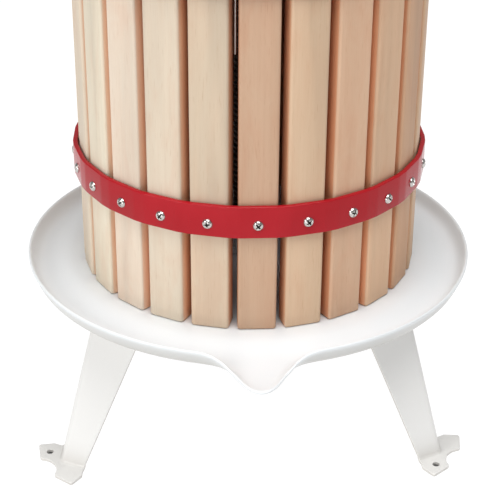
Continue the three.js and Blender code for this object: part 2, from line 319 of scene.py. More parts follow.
def wood_material(name, axis="Z"):
    m = Nodes(name)
    seed = m.n("ShaderNodeAttribute", attribute_name="seed", attribute_type="GEOMETRY").outputs["Fac"]
    tint = m.n("ShaderNodeAttribute", attribute_name="tint", attribute_type="GEOMETRY").outputs["Color"]
    off = m.n("ShaderNodeCombineXYZ")
    for i in range(3):
        m.link(m.math("MULTIPLY", seed, (3.7, 5.3, 1.9)[i]), off.inputs[i])
    add = m.n("ShaderNodeVectorMath", operation="ADD")
    m.link(m.coords(), add.inputs[0])
    m.link(off.outputs[0], add.inputs[1])
    p = add.outputs[0]

    def along(cross, length):
        s = {"X": (length, cross, cross), "Y": (cross, length, cross), "Z": (cross, cross, length)}[axis]
        return m.mapping(p, scale=s)
    # slow drift of colour, growth-ring bands, fine pores and short flecks, all run with the grain
    broad = m.noise(along(38, 3.2), 1.0, 3, 0.5, 0.4)
    rings = m.noise(along(150, 4.0), 1.0, 4, 0.55, 0.8)
    fine = m.noise(along(900, 14), 1.0, 3, 0.6)
    pores = m.noise(along(1500, 75), 1.0, 2, 0.5)
    blotch = m.noise(along(42, 13), 1.0, 4, 0.62, 0.6)
    base = m.ramp(broad, [(0.30, (0.80, 0.80, 0.80)), (0.5, (0.93, 0.92, 0.91)), (0.72, (1.0, 1.0, 1.0))])
    col = m.mix("MULTIPLY", 1.0, tint, base)
    band = m.ramp(rings, [(0.30, (0.86, 0.82, 0.78)), (0.47, (0.97, 0.96, 0.95)), (0.60, (1, 1, 1)), (0.75, (0.92, 0.89, 0.86))])
    col = m.mix("MULTIPLY", 0.30, col, band)
    pink = m.ramp(blotch, [(0.36, (1.0, 1.0, 0.99)), (0.52, (0.99, 0.955, 0.93)), (0.66, (0.97, 0.875, 0.83))])
    col = m.mix("MULTIPLY", 0.85, col, pink)
    line = m.ramp(fine, [(0.34, (0.88, 0.85, 0.82)), (0.52, (1, 1, 1))])
    col = m.mix("MULTIPLY", 0.18, col, line)
    fleck = m.ramp(pores, [(0.27, (0.72, 0.60, 0.50)), (0.38, (1, 1, 1))])
    col = m.mix("MULTIPLY", 0.35, col, fleck)
    # painted light on the stave sides: a warm painted bounce near the face, then painted shade deeper in the gaps and
    # on the inner face
    side_bounce_and_shade = m.n("ShaderNodeAttribute", attribute_name="side_bounce_and_shade", attribute_type="GEOMETRY").outputs["Fac"]
    col = m.mix("MULTIPLY", m.range(side_bounce_and_shade, 0.0, 0.5, 0.0, 1.0), col, (1.25, 0.90, 0.73))
    col = m.mix("MULTIPLY", m.range(side_bounce_and_shade, 0.5, 1.0, 0.0, 1.0), col, (0.62, 0.48, 0.42))
    hgt = m.math("ADD", m.math("MULTIPLY", fine, 0.5), m.math("MULTIPLY", pores, 0.5))
    m.bump(hgt, 0.35, 0.0003)
    rough = m.range(rings, 0.3, 0.7, 0.5, 0.62)
    m.set(Base_Color=col, Roughness=rough, Specular_IOR_Level=0.32)
    return m.mat


def paint_red(name, rough=0.24, peel=0.10):
    m = Nodes(name)
    c = m.coords()
    big = m.noise(c, 18, 3, 0.5)
    peelN = m.noise(c, 420, 3, 0.5)
    col = m.ramp(big, [(0.3, (0.345, 0.008, 0.014)), (0.7, (0.40, 0.011, 0.019))])
    dust = m.noise(c, 2600, 2, 0.6)
    col = m.mix("MIX", m.range(dust, 0.68, 0.78, 0.0, 0.12), col, (0.75, 0.25, 0.25))
    r = m.range(m.noise(c, 60, 4, 0.6), 0.3, 0.7, rough - 0.05, rough + 0.08)
    m.bump(peelN, peel, 0.0004)
    m.set(Base_Color=col, Roughness=r, Coat_Weight=0.0, Coat_Roughness=0.1, Specular_IOR_Level=0.17)
    return m.mat


def powder_white(name, tone=(0.79, 0.80, 0.80), rough=0.34):
    m = Nodes(name)
    c = m.coords()
    big = m.noise(c, 9, 3, 0.5)
    col = m.ramp(big, [(0.3, tuple(v * 0.985 for v in tone)), (0.7, tone)])
    peelN = m.noise(c, 700, 3, 0.55)
    wave = m.noise(c, 30, 2, 0.5)
    m.bump(m.math("ADD", m.math("MULTIPLY", peelN, 0.25), m.math("MULTIPLY", wave, 0.75)), 0.06, 0.0012)
    r = m.range(m.noise(c, 45, 4, 0.6), 0.3, 0.7, rough - 0.05, rough + 0.06)
    # painted shade: where the attribute is set, a warm grey is mixed into the white
    painted_under_shade = m.n("ShaderNodeAttribute", attribute_name="painted_under_shade", attribute_type="GEOMETRY").outputs["Fac"]
    col = m.mix("MIX", painted_under_shade, col, tuple(v * f for v, f in zip(tone, (0.68, 0.645, 0.60))))
    m.set(Base_Color=col, Roughness=r, Coat_Weight=0.25, Coat_Roughness=0.2, Specular_IOR_Level=0.45)
    return m.mat


def metal(name, color, rough=0.25, scratch=(600, 600, 25), amount=0.5, metallic=1.0, aniso=0.0):
    m = Nodes(name)
    c = m.coords()
    s = m.noise(m.mapping(c, scale=scratch), 1.0, 3, 0.6)
    mott = m.noise(c, 90, 4, 0.6)
    col = m.ramp(mott, [(0.3, tuple(v * 0.88 for v in color)), (0.7, color)])
    r = m.range(s, 0.25, 0.75, rough * (1 - 0.35 * amount), rough * (1 + 0.6 * amount))
    m.bump(s, 0.12 * amount, 0.0002)
    m.set(Base_Color=col, Roughness=r, Metallic=metallic, Anisotropic=aniso)
    return m.mat


def rubber(name):
    m = Nodes(name)
    c = m.coords()
    g = m.noise(c, 1400, 3, 0.6)
    col = m.ramp(m.noise(c, 35, 3, 0.5), [(0.3, (0.014, 0.014, 0.015)), (0.7, (0.028, 0.028, 0.03))])
    m.bump(g, 0.3, 0.0002)
    m.set(Base_Color=col, Roughness=m.range(g, 0.3, 0.7, 0.55, 0.75), Specular_IOR_Level=0.4)
    return m.mat


WOOD = wood_material("stave_beech", "Z")
WOOD_X = wood_material("press_beech_x", "X")
WOOD_Y = wood_material("press_beech_y", "Y")
RED = paint_red("gloss_red_paint", 0.17, 0.07)
RED_CAST = paint_red("red_cast_iron", rough=0.32, peel=0.45)
WHITE = powder_white("white_powder_coat", (0.745, 0.77, 0.785))
WHITE_LEG = powder_white("white_powder_coat_legs", (0.79, 0.785, 0.77), 0.38)
SCREW = metal("screw_nickel", (0.60, 0.575, 0.55), 0.17, (900, 900, 900), 0.5)
# painted shade: a near-black metal stands for the shade in the screws' cross recesses
RECESS_SHADE = metal("screw_recess_painted_shade", (0.05, 0.045, 0.04), 0.5, (900, 900, 900), 0.5)
WIRE = metal("drawn_wire", (0.46, 0.44, 0.43), 0.28, (900, 900, 30), 0.6)
ZINC = metal("zinc_plate", (0.66, 0.67, 0.68), 0.3, (500, 500, 500), 0.6)
# painted shade: the spindle is a dark brown, darker than plated steel, standing for the shade inside the basket
THREAD = metal("spindle_thread_steel_shaded", (0.12, 0.095, 0.08), 0.5, (300, 300, 900), 0.7)
BAR = metal("bar_zinc", (0.66, 0.67, 0.68), 0.24, (700, 700, 60), 0.6)
RUBBER = rubber("grip_rubber")
DARK = metal("bore_shadow", (0.05, 0.05, 0.05), 0.6, (500, 500, 500), 0.4)


# ---------------------------------------------------------------- staves
def stave(k):
    rng = random.Random(700 + k)
    az = k * 15.0
    w = STAVE_W / 2 - rng.uniform(0.0, 0.15)
    ro, ri = STAVE_FACE - rng.uniform(0.0, 0.25), STAVE_FACE - STAVE_THICK + rng.uniform(0, 0.2)
    Ro, Ri = 2.3, 1.3

    def corner(cr, ct, a0, R, n):
        return [(cr + R * math.cos(math.radians(a0 + 90.0 * i / n)), ct + R * math.sin(math.radians(a0 + 90.0 * i / n))) for i in range(n + 1)]
    outline = (corner(ro - Ro, -w + Ro, -90, Ro, 6) + corner(ro - Ro, w - Ro, 0, Ro, 6)
               + corner(ri + Ri, w - Ri, 90, Ri, 4) + corner(ri + Ri, -w + Ri, 180, Ri, 4))
    cr, ct = (ro + ri) / 2, 0.0
    n = len(outline)
    H = STAVE_H
    levels = [(0.0, 1.3), (0.25, 0.75), (0.75, 0.25), (1.4, 0.0)]
    zs = levels + [(z, 0.0) for z in np.linspace(12, H - 12, 15)] + [(H - z, i) for z, i in levels[::-1]]
    bow_t, bow_r, tw = rng.uniform(-0.3, 0.3), rng.uniform(-0.1, 0.0), rng.uniform(-0.25, 0.25)
    V = []
    for z, inset in zs:
        f = z / H
        bt = bow_t * math.sin(math.pi * f)
        br = bow_r * math.sin(math.pi * f)
        for r, t in outline:
            dr, dt = r - cr, t - ct
            L = math.hypot(dr, dt)
            s = 1 - inset / max(L, 1e-6)
            # push the ring inwards by the chamfer, a little twist and bow on the rest
            rr = cr + dr * (1 - inset / max(abs(ro - cr), 1)) + br
            tt = ct + dt * (1 - inset / w) + bt + tw * (f - 0.5) * (dr / 8.0) * 0.5
            V.append(at(az, rr, tt, ZB + z))
    F = grid_faces(len(zs), n, close_cols=True)
    F.append(tuple(range(n))[::-1])
    F.append(tuple((len(zs) - 1) * n + i for i in range(n)))
    ob = mesh_object("Stave_%02d" % (k + 1), V, F, WOOD, 50)
    # sawn sides and back: warm painted bounce light near the face, painted shade deeper in the gaps and on the inner
    # back face; k = 2 and 3 get more near the face, k = 1 and 23 less deep shade
    side = []
    cut = {2: 0.70, 3: 0.60}.get(k, 0.5)
    dim = 0.25 if k in (1, 23) else 1.0
    for z, inset in zs:
        for r, t in outline:
            a = min(max((abs(t) - (w - 0.5)) / 0.4, 0), 1) * min(max((ro - 1.6 - r) / 1.2, 0), 1)
            b = min(max((ri + 1.4 - r) / 0.8, 0), 1)
            deep = min(max((ro - 7.0 - r) / 6.0, 0), 1)
            side.append(max(a * (cut + (1 - cut) * deep * dim), b))
    at_ = ob.data.attributes.new("side_bounce_and_shade", "FLOAT", "POINT")
    at_.data.foreach_set("value", np.array(side, np.float32))
    set_attr(ob, "seed", 0.37 + k * 1.31 + rng.random())
    # painted light: the lower end is lifted paler, and a per-stave gain brightens or darkens single staves
    low_end_lift = {23: 0.19, 3: 0.15, 21: 0.10, 22: 0.05, 2: 0.02, 0: 0.05}.get(k, 0.08)
    stave_light_gain = {0: 0.965, 1: 0.985, 23: 0.955, 22: 0.985, 2: 1.025, 3: 1.045, 4: 1.06, 5: 1.05}.get(k, 1.0)
    rows = []
    for z, inset in zs:
        f = stave_light_gain + low_end_lift * min(max((105.0 - z) / 35.0, 0.0), 1.0)
        rows += [c * f for c in STAVE_TONE_AND_LIGHT[k % 24]] + [1.0]
    cols = np.repeat(np.array(rows, np.float32).reshape(-1, 4), n, axis=0)
    ta = ob.data.attributes.new("tint", "FLOAT_COLOR", "POINT")
    ta.data.foreach_set("color", cols.ravel())
    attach(ob, "basket")
    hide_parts("stave_%02d" % (k + 1))


def lin(r, g, b):
    f = lambda v: (v / 255 / 12.92) if v / 255 <= 0.04045 else ((v / 255 + 0.055) / 1.055) ** 2.4
    return (f(r), f(g), f(b))


CREAM, STRAW, SAND, PINK, TAN = (0.70, 0.59, 0.455), (0.68, 0.545, 0.40), (0.655, 0.49, 0.345), (0.66, 0.455, 0.33), (0.60, 0.42, 0.295)
# the front staves 0-5 and 19-23 have listed tints that are the wood's colour plus painted light: staves 19-23 on the -X
# side paler, staves 0-5 darker and browner
STAVE_TONE_AND_LIGHT = [(0.555, 0.373, 0.257), (0.616, 0.446, 0.307), (0.618, 0.420, 0.289), (0.655, 0.446, 0.297), (0.552, 0.350, 0.222), (0.60, 0.42, 0.28),
              STRAW, SAND, PINK, STRAW, CREAM, SAND, STRAW, PINK, STRAW, CREAM, SAND, STRAW, CREAM,
              (0.71, 0.62, 0.50), (0.721, 0.655, 0.530), (0.721, 0.625, 0.520), (0.686, 0.602, 0.488), (0.666, 0.545, 0.414)]
for k in range(24):
    stave(k)


# ---------------------------------------------------------------- hoops
def hoop_path(split):
    """[(point at stave-face radius, outward normal angle az)] all the way round, starting at the first stave"""
    out = []
    for k in range(24):
        for sgn in (-1, 1):
            c = at(k * 15, STAVE_FACE, sgn * 13.3, 0)
            out.append((c, k * 15.0, sgn))
    # each corner turns 7.5 degrees; round it over a short arc
    path = []
    for c, az, sgn in out:
        a0, a1 = (az - 7.5, az) if sgn < 0 else (az, az + 7.5)
        R = 22.0
        T = R * math.tan(math.radians(3.75))
        d0 = at(a0, 0, 1)
        for i in range(6):
            f = i / 5
            a = a0 + 7.5 * f
            ang = math.radians(a - a0)
            start = c - d0 * T
            ctr = start - at(a0, 1) * R
            p = ctr + at(a, 1) * R
            path.append((p, a))
    return path


def hoop(h):
    z0, z1 = HOOPS[h]
    sp = SPLIT[h]
    path = hoop_path(sp)
    # start right after the split
    def angle_of(p):
        return math.degrees(math.atan2(p.x, -p.y))
    rel = sorted(path, key=lambda q: (angle_of(q[0]) - sp) % 360.0)
    half = 0.3
    first = (at(sp, STAVE_FACE * math.cos(math.radians(7.5)) + 13.3 * math.sin(math.radians(7.5)), half), sp)
    last = (at(sp, STAVE_FACE * math.cos(math.radians(7.5)) + 13.3 * math.sin(math.radians(7.5)), -half), sp)
    pts = [first] + rel + [last]
    i0, i1, rc = HOOP_GAP, HOOP_GAP + HOOP_T, 1.0
    sec = []
    for cx, cz, a0 in ((i1 - rc, z1 - rc, 0), (i0 + rc, z1 - rc, 90), (i0 + rc, z0 + rc, 180), (i1 - rc, z0 + rc, 270)):
        for i in range(5):
            a = math.radians(a0 + 90 * i / 4)
            sec.append((cx + rc * math.cos(a), cz + rc * math.sin(a)))
        if a0 == 270:
            pass
    V = []
    for p, a in pts:
        n = at(a, 1)
        for off, z in sec:
            V.append(Vector((p.x, p.y, z)) + n * off)
    F = grid_faces(len(pts), len(sec), close_cols=True)
    m = len(sec)
    F.append(tuple(range(m))[::-1])
    F.append(tuple((len(pts) - 1) * m + i for i in range(m)))
    parts = [(V, F)]
    zm = (z0 + z1) / 2
    for sgn in (-1, 1):
        lo, hi = (zm + 0.4, z1 - 0.6) if sgn < 0 else (z0 + 0.6, zm - 0.4)
        t0, t1 = sorted((sgn * 0.35, sgn * 1.85))
        q = [(129.2, t0), (142, t0), (142, t1), (129.2, t1)]
        V = [at(sp, r, t, z) for z in (lo, hi) for r, t in q]
        parts.append((V, [(3, 2, 1, 0), (4, 5, 6, 7), (0, 1, 5, 4), (1, 2, 6, 5), (2, 3, 7, 6), (3, 0, 4, 7)]))
        c = at(sp, 128, 0, 0)
        parts.append(lathe([(1.25, lo), (1.95, lo), (1.95, hi), (1.25, hi), (1.25, lo)], 20, origin=c))
    V, F = join(parts)
    ob = mesh_object(h.capitalize() + "Hoop", V, F, RED, 50)
    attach(ob, "basket")
    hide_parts(h + "_hoop")


def screw_mesh(rng):
    """pan head with a cross recess, turned about +Z; face of the hoop at z = 0"""
    RH, HH = 4.0, 2.35
    ring, seg = 15, 64
    rot = rng.uniform(0, 90)
    V, F = [], []
    cut = []
    rs = [0.0] + [RH * (i / ring) ** 0.92 for i in range(1, ring + 1)]
    ca, sa = math.cos(math.radians(rot)), math.sin(math.radians(rot))
    rows = []
    for ri, r in enumerate(rs):
        cnt = 1 if ri == 0 else seg
        rows.append(len(V))
        for i in range(cnt):
            a = 2 * math.pi * i / seg
            x, y = r * math.cos(a), r * math.sin(a)
            z = HH * (1 - (r / (RH + 0.02)) ** 3.0) ** 0.55
            u, v = abs(x * ca + y * sa), abs(-x * sa + y * ca)
            L, W = (u, v) if u > v else (v, u)
            hw = 0.62 - 0.10 * L / 2.2
            inside = min(max((hw - W) / 0.22, 0), 1) * min(max((2.35 - L) / 0.3, 0), 1)
            depth = 1.75 - 0.35 * L
            V.append(Vector((x, y, z - depth * inside)))
            cut.append(inside)
    F = [(0, rows[1] + i, rows[1] + (i + 1) % seg) for i in range(seg)]
    for j in range(1, ring):
        for i in range(seg):
            k = (i + 1) % seg
            F.append((rows[j] + i, rows[j + 1] + i, rows[j + 1] + k, rows[j] + k))
    b = len(V)
    for z in (0.25, 0.0):
        for i in range(seg):
            a = 2 * math.pi * i / seg
            V.append(Vector(((RH + 0.03) * math.cos(a), (RH + 0.03) * math.sin(a), z)))
            cut.append(0)
    for i in range(seg):
        k = (i + 1) % seg
        F.append((rows[ring] + i, b + i, b + k, rows[ring] + k))
        F.append((b + i, b + seg + i, b + seg + k, b + k))
    # threaded shank, hidden in the wood
    c = len(V)
    turns, sp, n = 9, 20, 3
    prof = [(1.7, 0), (1.25, 0.5), (1.25, 1.0)]
    sv, sf = lathe([(RH + 0.03, 0.0), (1.7, 0.0), (1.7, -4.8)] + [q for i in range(8) for q in ((1.35, -5.1 - i * 1.2), (1.75, -5.7 - i * 1.2))] + [(0.9, -15.2), (0.0, -15.9)], 20)
    V += sv
    cut += [0] * len(sv)
    F += [tuple(q + c for q in f) for f in sf]
    return V, F, cut


def screws(h):
    z0, z1 = HOOPS[h]
    zm = z0 + 10.7
    rng = random.Random(11 if h == "lower" else 12)
    allV, allF, allC = [], [], []
    for k in range(24):
        V, F, cut = screw_mesh(rng)
        n = at(k * 15, 1)
        q = Vector((0, 0, 1)).rotation_difference(n)
        tilt = Matrix.Rotation(math.radians(rng.uniform(-1.5, 1.5)), 3, "X") @ Matrix.Rotation(math.radians(rng.uniform(-1.5, 1.5)), 3, "Y")
        c = at(k * 15, STAVE_FACE + HOOP_GAP + HOOP_T - 0.02, rng.uniform(-0.35, 0.35), zm + rng.uniform(-0.25, 0.25))
        b = len(allV)
        allV += [c + q @ (tilt @ v) for v in V]
        allF += [tuple(i + b for i in f) for f in F]
        allC += cut
    ob = mesh_object(h.capitalize() + "HoopScrews", allV, allF, SCREW, 38)
    ob.data.materials.append(RECESS_SHADE)
    # painted shade: faces down in the cross recess take the near-black metal
    for p in ob.data.polygons:
        if sum(allC[i] for i in p.vertices) / len(p.vertices) > 0.6:
            p.material_index = 1
    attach(ob, "basket")
    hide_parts(h + "_hoop_screws")


def pin(h):
    lo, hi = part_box(h + "_hoop_pin")
    z0, z1 = lo.z * 1000, hi.z * 1000
    sp = SPLIT[h]
    zt = HOOPS[h][1] + 1.5
    R = 2.2
    lean = -0.5 if h == "upper" else 0.0
    pts = [at(sp, 128, 0, z) for z in np.linspace(z0, zt - R, 14)]
    for i in range(1, 7):
        a = math.radians(90 * i / 6)
        pts.append(at(sp, 128 + R * (1 - math.cos(a)), 0, zt - R + R * math.sin(a)))
    pts += [at(sp, r, 0, zt) for r in (134, 140, 146, 151)]
    V, F = tube(pts, 1.1, 20)
    ob = mesh_object(h.capitalize() + "HoopPin", V, F, WIRE, 60)
    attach(ob, h + "_pin")
    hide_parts(h + "_hoop_pin")


for h in ("lower", "upper"):
    hoop(h)
    screws(h)
    pin(h)

# ---------------------------------------------------------------- juice tray
LIP_U = [0, 1.3, 2.65, 3.8, 4.9, 6.4, 8.9, 11.6, 15, 18]
LIP_R = [1, 0.955, 0.83, 0.665, 0.49, 0.32, 0.12, 0.03, 0, 0]
LIP_Z = [1, 0.99, 0.96, 0.91, 0.83, 0.67, 0.35, 0.10, 0, 0]
RIM = [(14, -0.3), (60, -0.3), (110, -0.3), (140, -0.3), (148, -0.35), (152, -0.6), (156, -1.3), (160, -2.4), (164, -3.6), (168, -4.6),
       (171.5, -5.1), (175, -5.1), (178, -4.3), (180.3, -2.7), (182.0, -0.4), (183.2, 2.2), (184.2, 4.8), (184.9, 6.3), (185.7, 7.1),
       (186.5, 7.3), (187.2, 6.9), (187.45, 6.1), (187.4, 5.1), (187.0, 4.2), (186.3, 3.2), (185.7, 1.4), (184.6, -1.6), (183.2, -4.5),
       (181.4, -6.6), (178.8, -7.8), (175, -8.1), (171, -7.9), (166, -6.9), (162, -5.6), (158, -4.3), (154, -3.3), (150, -2.9),
       (140, -2.8), (110, -2.8), (60, -2.8), (14, -2.8)]
TIP = [(14, -0.3), (60, -0.3), (110, -0.3), (140, -0.3), (148, -0.35), (152, -0.6), (156, -1.3), (161, -2.6), (167, -4.2), (174, -5.3),
       (181, -5.9), (188, -6.2), (195, -6.35), (201, -6.35), (206, -6.2), (210, -6.0), (213.5, -5.7), (215.5, -5.4), (217, -5.2),
       (218, -5.3), (218.7, -5.8), (218.95, -6.4), (218.8, -7.0), (218.2, -7.5), (217, -7.9), (214, -8.3), (209, -8.6), (204, -8.8),
       (198, -8.9), (191, -8.9), (184, -8.7), (176, -8.2), (169, -7.2), (163, -5.9), (158, -4.4), (154, -3.3), (150, -2.9),
       (140, -2.8), (110, -2.8), (60, -2.8), (14, -2.8)]


LIP_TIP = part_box("juice_tray")[0].y * -1000


def tray():
    azs = [a for a in np.arange(-18, 18.01, 0.5)] + [a for a in np.arange(20.5, 340, 2.5)]
    V = []
    for az in azs:
        u = az if az <= 180 else az - 360
        u = min(abs(u), 18.0)
        kr, kz = pchip(LIP_U, LIP_R, u), pchip(LIP_U, LIP_Z, u)
        for (r0, h0), (r1, h1) in zip(RIM, TIP):
            r1 = r1 if r1 < 201 else 201 + (r1 - 201) * (LIP_TIP - 201) / 18.0
            V.append(at(az, r0 + (r1 - r0) * kr, 0, ZB + h0 + (h1 - h0) * kz))
    m = len(RIM)
    F = grid_faces(len(azs), m, close_rows=True, close_cols=True)
    ob = mesh_object("JuiceTray", V, F, WHITE, 75)
    # painted shade: greyer down the outside and underneath
    shade = [min(max((i - 21.5) / 6.0, 0.0), 1.0) for i in range(m)]
    ua = ob.data.attributes.new("painted_under_shade", "FLOAT", "POINT")
    ua.data.foreach_set("value", np.tile(np.array(shade, np.float32), len(azs)))
    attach(ob, "base")
    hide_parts("juice_tray")


tray()

# ---------------------------------------------------------------- legs
LEG_HALF = math.radians(55.5)
S_TOP, S_LOW = (143.8, ZB - 3.1), (187.3, SHEET)
W_TOP, W_LOW = 49.7, 21.4


def rounded_polyline(pts, radii, n=6):
    out = []
    for i, p in enumerate(pts):
        R = radii[i]
        if R <= 0 or i in (0, len(pts) - 1):
            out.append(Vector(p))
            continue
        a, b = Vector(pts[i - 1]), Vector(pts[i + 1])
        p = Vector(p)
        d0, d1 = (a - p).normalized(), (b - p).normalized()
        for k in range(n + 1):
            f = k / n
            out.append((p + d0 * R) * (1 - f) ** 2 + p * 2 * f * (1 - f) + (p + d1 * R) * f ** 2)
    return out


def resample(pts, n):
    d = [0.0]
    for a, b in zip(pts[:-1], pts[1:]):
        d.append(d[-1] + (b - a).length)
    out = []
    for i in range(n):
        s = d[-1] * i / (n - 1)
        j = max(0, min(len(d) - 2, int(np.searchsorted(d, s) - 1)))
        f = (s - d[j]) / max(d[j + 1] - d[j], 1e-9)
        out.append(pts[j].lerp(pts[j + 1], min(max(f, 0), 1)))
    return out


def leg(name):
    az = LEG_AZ[name]
    th = SHEET
    NF, NC = 34, 6
    n_out = Vector((math.sin(LEG_HALF), math.cos(LEG_HALF)))       # outward normal of the right face, in (r, t)
    d_in = Vector((-math.cos(LEG_HALF), math.sin(LEG_HALF)))       # along the right face, away from the spine
    BR = 4.6                                                        # bend radius at mid sheet
    CR = 4.4                                                        # spine fold radius at mid sheet

    def half_path(spine_r, w):
        """mid-sheet points and normals of the right half, from the spine's middle to the inner edge"""
        turn = math.pi / 2 - LEG_HALF                                # half of the fold's turn
        # mid-sheet lies half a thickness behind the outside surface
        apex = spine_r - (th / 2) / math.sin(LEG_HALF)
        T = CR * math.tan(turn)
        ctr = Vector((apex + T * d_in.x, T * d_in.y)) - n_out * CR
        pts, nor = [], []
        for i in range(NC + 1):
            a = turn * i / NC
            nv = Vector((math.cos(a), math.sin(a)))
            pts.append(ctr + nv * CR)
            nor.append(nv)
        s0 = T
        for i in range(1, NF + 1):
            s = s0 + (w - s0) * i / NF
            pts.append(Vector((apex, 0)) + d_in * s)
            nor.append(n_out)
        return pts, nor

    outline = rounded_polyline([(192.7, 0), (193.2, 4.2), (195.3, 9.3), (199.6, 13.4), (192.6, 31.6), (180.2, 26.3)],
                               [0, 3.0, 3.2, 2.2, 2.0, 0], 8)
    target = resample(outline, NF + NC + 1)
    zmid = SHEET / 2
    cols = []                                                         # one column per path point
    N = NF + NC + 1
    vf = list(np.linspace(0, 1, 16))
    z_top = S_TOP[1]
    z_fold = zmid + BR * 0.80
    for sgn in (-1, 1):
        order = range(N - 1, 0, -1) if sgn < 0 else range(0, N)
        for i in order:
            col = []
            for f in vf:
                z = z_top + (z_fold - z_top) * f
                g = (z_top - z) / (z_top - S_LOW[1])
                p, nn = half_path(S_TOP[0] + (S_LOW[0] - S_TOP[0]) * g, W_TOP + (W_LOW - W_TOP) * g)
                col.append((p[i].x, p[i].y * sgn, z))
            # bend outwards to the floor
            r0, t0, zf = col[-1]
            pr, pt, pz = col[-2]
            nv = nor_i = half_path(S_LOW[0], W_LOW)[1][i]
            nvec = Vector((nv.x, nv.y * sgn))
            slope = ((r0 - pr) * nvec.x + (t0 - pt) * nvec.y) / (pz - zf)
            phi0 = math.atan(slope)
            Rb = (zf - zmid) / (1 - math.sin(phi0))
            for k in range(1, 8):
                ph = phi0 + (math.pi / 2 - phi0) * k / 7
                dn = Rb * (math.cos(phi0) - math.cos(ph))
                dz = Rb * (math.sin(ph) - math.sin(phi0))
                col.append((r0 + nvec.x * dn, t0 + nvec.y * dn, zf - dz))
            er, et, ez = col[-1]
            T = target[i]
            for k in range(1, 6):
                f = k / 5
                col.append((er + (T.x - er) * f, et + (T.y * sgn - et) * f, zmid))
            cols.append(col)
    rows = len(cols[0])
    V = [at(az, *q) for c in cols for q in c]
    F = grid_faces(len(cols), rows)
    ob = mesh_object(name.title().replace("_", ""), V, F, WHITE_LEG, 60)
    sol = ob.modifiers.new("sheet", "SOLIDIFY")
    sol.thickness = th * MM
    sol.offset = 0.0
    sol.use_even_offset = True
    bv = ob.modifiers.new("edge", "BEVEL")
    bv.width = 0.55 * MM
    bv.segments = 2
    bv.limit_method = "ANGLE"
    bv.angle_limit = math.radians(55)
    bake(ob, 50)
    # hole in the left-hand tab
    cut_v, cut_f = lathe([(0, -4), (3.0, -4), (3.0, 8), (0, 8)], 40, origin=at(az, 188.8, -17.2, 0))
    cutter = mesh_object("hole_cutter", cut_v, cut_f, None, 40)
    bo = ob.modifiers.new("hole", "BOOLEAN")
    bo.object = cutter
    bo.operation = "DIFFERENCE"
    bo.solver = "EXACT"
    bake(ob, 50)
    bpy.data.objects.remove(cutter)
    # top flange under the tray
    fl = rounded_polyline([(141, 0), (141, 4), (118, 41), (92, 22), (92, 0)], [0, 3, 5, 5, 0], 5)
    ring = [(p.x, p.y) for p in fl] + [(p.x, -p.y) for p in fl[::-1]][1:-1]
    levels = [(0.5, 0.0), (0.0, 0.5), (0.0, 2.0), (0.5, 2.5)]
    V = []
    cx = 116.0
    for inset, dz in levels:
        for r, t in ring:
            L = math.hypot(r - cx, t)
            s = (L - inset) / L
            V.append(at(az, cx + (r - cx) * s, t * s, ZB - 3.1 - SHEET + dz))
    n = len(ring)
    F = grid_faces(len(levels), n, close_cols=True)
    F.append(tuple(range(n))[::-1])
    F.append(tuple((len(levels) - 1) * n + i for i in range(n)))
    top = mesh_object("flange_tmp", V, F, WHITE_LEG, 40)
    bm = bmesh.new()
    bm.from_mesh(ob.data)
    bm.from_mesh(top.data)
    bm.to_mesh(ob.data)
    bm.free()
    bpy.data.objects.remove(top)
    finish_mesh(ob, 50)
    if not list(ob.data.materials):
        ob.data.materials.append(WHITE_LEG)
    for p in ob.data.polygons:
        p.material_index = 0
    # painted shade: greyer where the foot turns out, on the foot plates and along the cut edges of the sheet
    er, et = at(az, 1, 0, 0), at(az, 0, 1, 0)
    er, et = er.normalized(), et.normalized()
    shade = []
    for v in ob.data.vertices:
        z, t = v.co.z * 1000, v.co.dot(et) * 1000
        nr, nt = v.normal.dot(er), v.normal.dot(et) * (1 if t >= 0 else -1)
        face = abs(nr * n_out.x + nt * n_out.y)
        if z > 9.0:
            edge = 0.9 if face < 0.72 and abs(v.normal.z) < 0.75 and abs(t) > 11 and z < ZB - 8 else 0.0
            shade.append(max(edge, 0.42 * min(max((20.0 - z) / 11.0, 0.0), 1.0) ** 1.5))
        elif z > SHEET + 0.35:
            shade.append(0.42)
        else:
            shade.append(0.2 if v.normal.z > 0.5 else 0.6)
    ua = ob.data.attributes.new("painted_under_shade", "FLOAT", "POINT")
    ua.data.foreach_set("value", np.array(shade, np.float32))
    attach(ob, "base")
    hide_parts(name)


for nme in LEG_AZ:
    leg(nme)


# ---------------------------------------------------------------- nuts, bolts, washers
def hex_nut(af, z0, z1, bore, origin, seg=72, chamfer=0.12):
    """hexagon with turned chamfers and a chamfered bore"""
    c = af / math.sqrt(3)
    V, F = [], []
    H = z1 - z0
    ch = c - af / 2

    def hexr(a):
        a = (a % (math.pi / 3)) - math.pi / 6
        return (af / 2) / math.cos(a)
    rows = []
    prof = [("b", bore, z0 + 1.2), ("b", bore + 1.2, z0), ("f", af / 2 - 0.3, z0), ("h", 0, z0), ("h", 0, z1), ("f", af / 2 - 0.3, z1), ("b", bore + 1.2, z1), ("b", bore, z1 - 1.2)]
    for kind, r, z in prof:
        row = []
        for i in range(seg):
            a = 2 * math.pi * i / seg
            if kind == "h":
                R = hexr(a)
                drop = (R - (af / 2 - 0.3)) * 0.55
                zz = z + drop if z == z0 else z - drop
            else:
                R, zz = r, z
            row.append(len(V))
            V.append(Vector(origin) + Vector((R * math.cos(a), R * math.sin(a), zz)))
        rows.append(row)
    for A, B in zip(rows, rows[1:] + rows[:1]):
        for i in range(seg):
            k = (i + 1) % seg
            F.append((A[i], A[k], B[k], B[i]))
    return V, F


